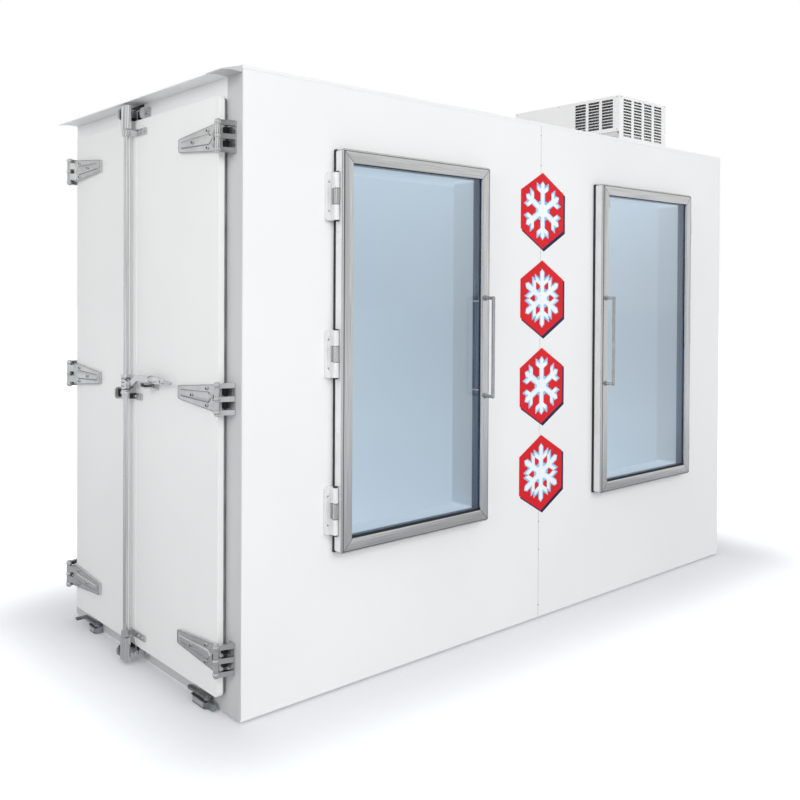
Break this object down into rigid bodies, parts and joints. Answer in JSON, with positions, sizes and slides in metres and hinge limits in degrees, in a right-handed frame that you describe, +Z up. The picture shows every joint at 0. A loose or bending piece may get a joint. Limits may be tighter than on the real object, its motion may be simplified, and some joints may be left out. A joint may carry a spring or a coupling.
{
  "type": "ice merchandiser freezer",
  "caption": "Insulated panel ice merchandiser with glass front doors, strap-hinged loading doors with a lock rod, and a roof-mounted cooling unit.",
  "frame": {"origin": "centre of the cabinet's underside on the floor", "axes": "+X along the front to the right, +Y from the front into the cabinet, +Z up; the glass doors face -Y and the loading doors face -X"},
  "size_m": [3.057, 1.4333, 2.442],
  "materials": {
    "white_panel": "white baked enamel, slight gloss",
    "door_skin": "off-white enamel",
    "frame_steel": "light grey satin",
    "zinc": "zinc plated forging",
    "polished": "polished",
    "door_aluminium": "satin anodised",
    "black_rubber": "matte",
    "cast_dark": "dark satin",
    "glass": "clear double glazing",
    "coil_fins": "finned",
    "black_steel": "black satin"
  },
  "bodies": {
    "cabinet": {"floor_panel": "white_panel", "roof_panel": "white_panel", "front_panel_left": "white_panel", "front_panel_right": "white_panel", "rear_panel": "white_panel", "right_end_panel": "white_panel", "end_door_frame": "frame_steel", "drip_cap": "white_panel", "keeper_top": "zinc", "keeper_bottom": "zinc", "base_latch_front": "cast_dark", "base_latch_rear": "cast_dark", "unit_housing": "white_panel", "unit_tray": "white_panel", "condenser_coil": "coil_fins", "fan_shroud": "black_steel", "fan_motor": "black_steel", "compressor": "black_steel", "evaporator_case": "white_panel", "strap_bracket_front_low": "zinc", "strap_bracket_front_mid": "zinc", "strap_bracket_front_high": "zinc", "strap_bracket_rear_low": "zinc", "strap_bracket_rear_mid": "zinc", "strap_bracket_rear_high": "zinc", "glass_hinge_left_low": "white_panel", "glass_hinge_left_mid": "white_panel", "glass_hinge_left_high": "white_panel", "glass_hinge_right_low": "white_panel", "glass_hinge_right_mid": "white_panel", "glass_hinge_right_high": "white_panel"},
    "end_door_front_leaf": {"end_door_front": "door_skin", "end_door_front_gasket": "black_rubber", "strap_front_low": "zinc", "strap_front_mid": "zinc", "strap_front_high": "zinc", "rod_guide_top": "zinc", "rod_guide_middle": "zinc", "rod_guide_bottom": "zinc", "handle_catch": "zinc"},
    "end_door_rear_leaf": {"end_door_rear": "door_skin", "end_door_rear_gasket": "black_rubber", "strap_rear_low": "zinc", "strap_rear_mid": "zinc", "strap_rear_high": "zinc", "keeper_middle": "zinc"},
    "rod": {"lock_rod": "polished"},
    "handle": {"lock_handle": "polished"},
    "front_lever": {"base_lever_front": "cast_dark"},
    "rear_lever": {"base_lever_rear": "cast_dark"},
    "left_glass_door": {"glass_door_left_frame": "door_aluminium", "glass_door_left_glass": "glass", "glass_door_left_gasket": "black_rubber", "glass_door_left_handle": "polished"},
    "right_glass_door": {"glass_door_right_frame": "door_aluminium", "glass_door_right_glass": "glass", "glass_door_right_gasket": "black_rubber", "glass_door_right_handle": "polished"},
    "condenser_wheel": {"condenser_fan": "black_steel"},
    "evaporator_wheel": {"evaporator_fan": "black_steel"}
  },
  "joints": [
    {"name": "end_door_front_swing", "type": "hinge", "parent": "cabinet", "child": "end_door_front_leaf", "pos_m": [-1.542, -0.6093, 1.055], "axis": [0, 0, 1], "range_deg": [0, 180]},
    {"name": "end_door_rear_swing", "type": "hinge", "parent": "cabinet", "child": "end_door_rear_leaf", "pos_m": [-1.542, 0.6093, 1.055], "axis": [0, 0, -1], "range_deg": [0, 180]},
    {"name": "lock_rod_turn", "type": "hinge", "parent": "end_door_front_leaf", "child": "rod", "pos_m": [-1.552, 0.041, 1.055], "axis": [0, 0, -1], "range_deg": [0, 180]},
    {"name": "lock_handle_lift", "type": "hinge", "parent": "rod", "child": "handle", "pos_m": [-1.552, 0.007, 1.055], "axis": [-1, 0, 0], "range_deg": [0, 30]},
    {"name": "front_lever_swing", "type": "hinge", "parent": "cabinet", "child": "front_lever", "pos_m": [-1.504, -0.489, 0.034], "axis": [0, 0, 1], "range_deg": [0, 100]},
    {"name": "rear_lever_swing", "type": "hinge", "parent": "cabinet", "child": "rear_lever", "pos_m": [-1.504, 0.404, 0.034], "axis": [0, 0, 1], "range_deg": [0, 90]},
    {"name": "left_glass_door_swing", "type": "hinge", "parent": "cabinet", "child": "left_glass_door", "pos_m": [-1.1275, -0.698, 1.1895], "axis": [0, 0, -1], "range_deg": [0, 105]},
    {"name": "right_glass_door_swing", "type": "hinge", "parent": "cabinet", "child": "right_glass_door", "pos_m": [1.1275, -0.698, 1.1895], "axis": [0, 0, 1], "range_deg": [0, 105]},
    {"name": "condenser_fan_spin", "type": "hinge", "parent": "cabinet", "child": "condenser_wheel", "pos_m": [1.07, -0.221, 2.2626], "axis": [1, 0, 0], "continuous": true},
    {"name": "evaporator_fan_spin", "type": "hinge", "parent": "cabinet", "child": "evaporator_wheel", "pos_m": [1.1847, -0.03, 1.9557], "axis": [0, 1, 0], "continuous": true}
  ]
}
